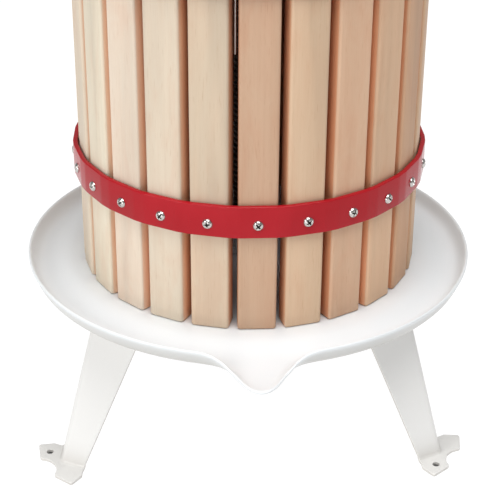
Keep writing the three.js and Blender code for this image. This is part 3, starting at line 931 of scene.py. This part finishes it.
i = 1
for lname, az in LEG_AZ.items():
    c = at(az, 112, 0, 0)
    V1, F1 = lathe([(0, ZB - 19), (2.9, ZB - 19), (3.9, ZB - 18)] + [q for j in range(13) for q in ((3.9, ZB - 17.6 + j * 1.0), (3.3, ZB - 17.1 + j * 1.0))]
                   + [(3.9, ZB - 4.2), (3.9, ZB - 0.05), (8.4, ZB - 0.05), (9.0, ZB + 0.4), (8.3, ZB + 1.8), (6.2, ZB + 2.9), (3.0, ZB + 3.3), (0, ZB + 3.35)], 32, origin=c)
    ob = mesh_object("LegBolt_%d" % i, V1, F1, ZINC, 40)
    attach(ob, "base")
    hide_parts("leg_bolt_%d" % i)
    V1, F1 = hex_nut(12.8, ZB - 12.6, ZB - 5.9, 4.05, c)
    ob = mesh_object("LegNut_%d" % i, V1, F1, ZINC, 30)
    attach(ob, "base")
    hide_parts("leg_nut_%d" % i)
    i += 1

V1, F1 = hex_nut(40.7, ZB - 28, ZB - 7.9, 13.3, (0, 0, 0))
lo_nut = mesh_object("SpindleNutLower", V1, F1, ZINC, 30)
V1, F1 = hex_nut(40.7, ZB, ZB + 20, 13.3, (0, 0, 0))
up_nut = mesh_object("SpindleNutUpper", V1, F1, ZINC, 30)
V1, F1 = lathe([(13.6, ZB - 7.6), (35.4, ZB - 7.6), (36, ZB - 7.0), (36, ZB - 3.7), (35.4, ZB - 3.1), (13.6, ZB - 3.1), (13.6, ZB - 7.6)], 72)
washer = mesh_object("SpindleWasher", V1, F1, ZINC, 40)
for ob, nd in ((lo_nut, "spindle_nut_lower"), (up_nut, "spindle_nut_upper"), (washer, "spindle_washer")):
    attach(ob, "base")
    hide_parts(nd)


# ---------------------------------------------------------------- spindle with its thread
def spindle():
    lo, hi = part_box("spindle")
    z0, z1 = lo.z * 1000, hi.z * 1000
    pitch, rc, rr = 5.0, 13.0, 10.6
    seg = 36
    start, end = z0 + 6, z1 - 8
    steps = int((end - start) / pitch * seg)
    prof = [(rr, 0.0), (rr, 1.55), (rc, 2.15), (rc, 4.4), (rr, 5.0)]
    V = []
    for i in range(steps + 1):
        a = -2 * math.pi * i / seg
        z = start + pitch * i / seg
        for r, dz in prof:
            V.append(Vector((r * math.cos(-a), r * math.sin(-a), z + dz - 2.5)))
    F = grid_faces(steps + 1, len(prof))
    parts = [(V, F)]
    parts.append(lathe([(0, z0), (rr - 0.6, z0), (rr + 0.8, z0 + 1.2), (rr + 0.8, z0 + 4), (rr + 0.02, z0 + 6), (rr + 0.02, z1 - 8), (rr + 0.4, z1 - 6), (rr + 0.4, z1 - 2.2), (rr - 1.4, z1 - 0.3), (rr - 2.2, z1), (0, z1)], 48))
    V, F = join(parts)
    ob = mesh_object("Spindle", V, F, THREAD, 35)
    finish_mesh(ob, 35, merge=0.01)
    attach(ob, "base")
    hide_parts("spindle")


spindle()


# ---------------------------------------------------------------- press plates and blocks
def rounded_block(name, lo, hi, R, mat, body, nodes, seed, tint, n=4):
    me = bpy.data.meshes.new(name)
    bm = bmesh.new()
    bmesh.ops.create_cube(bm, size=1.0)
    s = [(b - a) * MM for a, b in zip(lo, hi)]
    c = [(b + a) / 2 * MM for a, b in zip(lo, hi)]
    bmesh.ops.scale(bm, vec=s, verts=bm.verts)
    bmesh.ops.translate(bm, vec=c, verts=bm.verts)
    bmesh.ops.bevel(bm, geom=list(bm.edges), offset=R * MM, segments=n, profile=0.5, affect="EDGES")
    bm.to_mesh(me)
    bm.free()
    ob = bpy.data.objects.new(name, me)
    bpy.context.scene.collection.objects.link(ob)
    me.materials.append(mat)
    finish_mesh(ob, 60)
    set_attr(ob, "seed", seed)
    set_color(ob, "tint", tint)
    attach(ob, body)
    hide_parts(*nodes)
    return ob


def mm_box(node):
    lo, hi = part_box(node)
    return [v * 1000 for v in lo], [v * 1000 for v in hi]


for j, (nd, mat) in enumerate((("press_block_front", WOOD_X), ("press_block_back", WOOD_X), ("press_block_left", WOOD_Y), ("press_block_right", WOOD_Y))):
    lo, hi = mm_box(nd)
    rounded_block(nd.title().replace("_", ""), lo, hi, 2.2, mat, "press_head", [nd], 40.3 + j * 2.7, (STRAW, SAND, CREAM, STRAW)[j])


def half_moon(node, sgn, seed, tint):
    lo, hi = mm_box(node)
    z0, z1 = lo[2], hi[2]
    R, r = 117.0, 17.0
    x0 = 0.75
    out = []
    a0 = math.degrees(math.acos(x0 / R))
    for i in range(73):
        a = math.radians(-a0 + 2 * a0 * i / 72)
        out.append((R * math.cos(a) if 0 < i < 72 else x0, R * math.sin(a)))
    b0 = math.degrees(math.acos(x0 / r))
    for i in range(25):
        a = math.radians(b0 - 2 * b0 * i / 24)
        out.append((r * math.cos(a) if 0 < i < 24 else x0, r * math.sin(a)))
    n = len(out)

    def inset(d):
        q = []
        for i in range(n):
            p, a, b = Vector(out[i]), Vector(out[i - 1]), Vector(out[(i + 1) % n])
            e0, e1 = (p - a).normalized(), (b - p).normalized()
            n0, n1 = Vector((-e0.y, e0.x)), Vector((-e1.y, e1.x))
            m = (n0 + n1)
            m = m / max(m.length_squared / 2, 0.5)
            q.append(p + m * d)
        return q
    B = 1.8
    rows = [(B, z0), (B * 0.3, z0 + B * 0.3), (0, z0 + B), (0, z1 - B), (B * 0.3, z1 - B * 0.3), (B, z1)]
    V = []
    for d, z in rows:
        for p in inset(d):
            V.append(Vector((sgn * p.x, p.y, z)))
    F = grid_faces(len(rows), n, close_cols=True)
    F.append(tuple(range(n))[::-1])
    F.append(tuple((len(rows) - 1) * n + i for i in range(n)))
    ob = mesh_object(node.title().replace("_", ""), V, F, WOOD_Y, 50)
    set_attr(ob, "seed", seed)
    set_color(ob, "tint", tint)
    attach(ob, "press_head")
    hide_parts(node)


half_moon("press_plate_left", -1, 61.2, SAND)
half_moon("press_plate_right", 1, 66.9, STRAW)

lo, hi = mm_box("thrust_plate")
V1, F1 = lathe([(14.5, lo[2]), (51.2, lo[2]), (52, lo[2] + 0.8), (52, hi[2] - 0.8), (51.2, hi[2]), (15.3, hi[2]), (14.5, hi[2] - 0.8), (14.5, lo[2])], 96)
ob = mesh_object("ThrustPlate", V1, F1, ZINC, 30)
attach(ob, "press_head")
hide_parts("thrust_plate")

# ---------------------------------------------------------------- pressing nut, bars and grips
HANDLE_AZ = 25.0
BAR_Z = 684.0


def hz(r, z=BAR_Z):
    return at(HANDLE_AZ, r, 0, z)


lo, hi = mm_box("pressing_nut")
h0, h1 = lo[2], hi[2]
parts = [lathe([(0, h0), (38, h0), (40, h0 + 2), (40, h0 + 8), (37, h0 + 10.5), (31, h0 + 14), (27.5, h0 + 20), (26, h0 + 28), (26, h1 - 7), (24.8, h1 - 2.6), (21.5, h1), (0, h1)], 64)]
V1, F1 = join(parts)
hub = mesh_object("PressingNut", V1, F1, RED_CAST, 60)
ax = hz(1) - hz(0)
Vb, Fb = lathe([(0, -52), (12.2, -52), (14, -50), (14, -34), (14.6, -26), (14.6, 26), (14, 34), (14, 50), (12.2, 52), (0, 52)], 48, origin=hz(0), axis=ax)
boss = mesh_object("boss_tmp", Vb, Fb, RED_CAST, 60)
bm = bmesh.new()
bm.from_mesh(hub.data)
bm.from_mesh(boss.data)
bm.to_mesh(hub.data)
bm.free()
bpy.data.objects.remove(boss)
rm = hub.modifiers.new("cast", "REMESH")
rm.mode = "VOXEL"
rm.voxel_size = 1.1 * MM
sm = hub.modifiers.new("soft", "SMOOTH")
sm.factor = 0.5
sm.iterations = 7
bake(hub, 70)
Vc, Fc = lathe([(0, h0 - 5), (13.4, h0 - 5), (13.4, h1 + 5), (0, h1 + 5)], 64)
cut1 = mesh_object("cut1", Vc, Fc, None, 40)
Vc, Fc = lathe([(0, 19), (8.3, 19), (8.3, 60), (0, 60)], 40, origin=hz(0), axis=ax)
cut2 = mesh_object("cut2", Vc, Fc, None, 40)
Vc, Fc = lathe([(0, 19), (8.3, 19), (8.3, 60), (0, 60)], 40, origin=hz(0), axis=-ax)
cut3 = mesh_object("cut3", Vc, Fc, None, 40)
for c in (cut1, cut2, cut3):
    bo = hub.modifiers.new("bore", "BOOLEAN")
    bo.object = c
    bo.operation = "DIFFERENCE"
    bo.solver = "EXACT"
bake(hub, 50)
for c in (cut1, cut2, cut3):
    bpy.data.objects.remove(c)
if not list(hub.data.materials):
    hub.data.materials.append(RED_CAST)
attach(hub, "handle")
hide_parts("pressing_nut")

for nm, sgn in (("front", 1), ("back", -1)):
    V1, F1 = lathe([(0, 20), (7.2, 20), (8, 20.8), (8, 239.2), (7.2, 240), (0, 240)], 40, origin=hz(0), axis=ax * sgn)
    ob = mesh_object("HandleBar" + nm.title(), V1, F1, BAR, 40)
    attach(ob, "handle")
    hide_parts("handle_bar_" + nm)
    prof = [(8.4, 130.6), (9.2, 130), (12.4, 130), (13.5, 131.4), (13.5, 137)]
    s = 139.0
    while s < 236:
        prof += [(13.5, s), (12.6, s + 0.6), (12.4, s + 1.6), (12.6, s + 2.6), (13.5, s + 3.2)]
        s += 6.0
    prof += [(13.5, 243), (13.1, 245.4), (11.8, 247.2), (9.6, 248), (0, 248)]
    V1, F1 = lathe(prof, 56, origin=hz(0), axis=ax * sgn)
    ob = mesh_object("HandleGrip" + nm.title(), V1, F1, RUBBER, 40)
    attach(ob, "handle")
    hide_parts("handle_grip_" + nm)

# ---------------------------------------------------------------- stage
fl = bpy.data.meshes.new("floor")
fl.from_pydata([(-30, -30, -0.0005), (30, -30, -0.0005), (30, 30, -0.0005), (-30, 30, -0.0005)], [], [(0, 1, 2, 3)])
floor = bpy.data.objects.new("floor", fl)
bpy.context.scene.collection.objects.link(floor)
fm = Nodes("studio_floor")
em = fm.n("ShaderNodeEmission")
em.inputs["Color"].default_value = (1, 1, 1, 1)
em.inputs["Strength"].default_value = 1.12
df = fm.n("ShaderNodeBsdfDiffuse")
df.inputs["Color"].default_value = (0.9, 0.9, 0.9, 1)
mx = fm.n("ShaderNodeMixShader")
mx.inputs[0].default_value = 0.85
fm.link(df.outputs[0], mx.inputs[1])
fm.link(em.outputs[0], mx.inputs[2])
pos = fm.coords()
# painted shadow: the floor stops glowing in small discs under the three foot holes, so the holes look dark
hole_shadow_mask = None
for lz in LEG_AZ.values():
    dn = fm.n("ShaderNodeVectorMath", operation="DISTANCE")
    fm.link(pos, dn.inputs[0])
    dn.inputs[1].default_value = tuple(at(lz, 188.8, -17.2, 0) * MM)
    step = fm.range(dn.outputs["Value"], 0.0065, 0.008, 0.0, 1.0)
    hole_shadow_mask = step if hole_shadow_mask is None else fm.math("MULTIPLY", hole_shadow_mask, step)
fm.link(fm.math("MULTIPLY", hole_shadow_mask, 1.12), em.inputs["Strength"])
fm.link(mx.outputs[0], fm.t.nodes["Material Output"].inputs["Surface"])
fl.materials.append(fm.mat)


def area(name, loc, target, size, energy, color=(1, 1, 1), size_y=None):
    L = bpy.data.lights.new(name, "AREA")
    L.energy = energy
    L.color = color
    L.shape = "RECTANGLE"
    L.size = size
    L.size_y = size_y or size
    o = bpy.data.objects.new(name, L)
    bpy.context.scene.collection.objects.link(o)
    o.location = loc
    d = Vector(target) - Vector(loc)
    o.rotation_euler = d.to_track_quat("-Z", "Y").to_euler()
    return o


area("key", (-1.9, -1.45, 1.2), (0, 0, 0.3), 0.9, 19.5, (1.0, 0.985, 0.96))
area("top", (0.12, -0.66, 2.25), (0, 0, 0.2), 1.6, 48.0, (1, 1, 1))
area("low", (-0.8, -1.95, 0.1), (0, 0, 0.24), 0.8, 8.0, (1, 1, 1))

w = bpy.data.worlds.new("studio")
bpy.context.scene.world = w
w.use_nodes = True
bg = w.node_tree.nodes["Background"]
bg.inputs["Color"].default_value = (1, 1, 1, 1)
bg.inputs["Strength"].default_value = 0.32
bpy.context.scene.view_settings.view_transform = "Standard"
bpy.context.scene.view_settings.look = "None"

# ---------------------------------------------------------------- camera
F_PX, PITCH, D, H, CX, CY, ROLL, AZ0 = 1329.4, 25.257, 1017.4, 537.9, 248.7, 183.9, 0.45, 2.90
cam_data = bpy.data.cameras.new("camera")
cam_data.sensor_width = 36.0
cam_data.lens = F_PX / 500 * 36.0
cam_data.shift_x = (250 - CX) / 500
cam_data.shift_y = (CY - 250) / 500
cam_data.clip_start, cam_data.clip_end = 0.02, 100
cam = bpy.data.objects.new("camera", cam_data)
bpy.context.scene.collection.objects.link(cam)
a = math.radians(-AZ0)
pos = Vector((math.sin(a) * D, -math.cos(a) * D, ZB + H)) * MM
p = math.radians(PITCH)
fwd = Vector((-math.sin(a) * math.cos(p), math.cos(a) * math.cos(p), -math.sin(p)))
right = fwd.cross(Vector((0, 0, 1))).normalized()
up = right.cross(fwd)
rot = Matrix((right, up, -fwd)).transposed()
rot = rot @ Matrix.Rotation(math.radians(ROLL), 3, "Z")
cam.matrix_world = Matrix.Translation(pos) @ rot.to_4x4()
bpy.context.scene.camera = cam
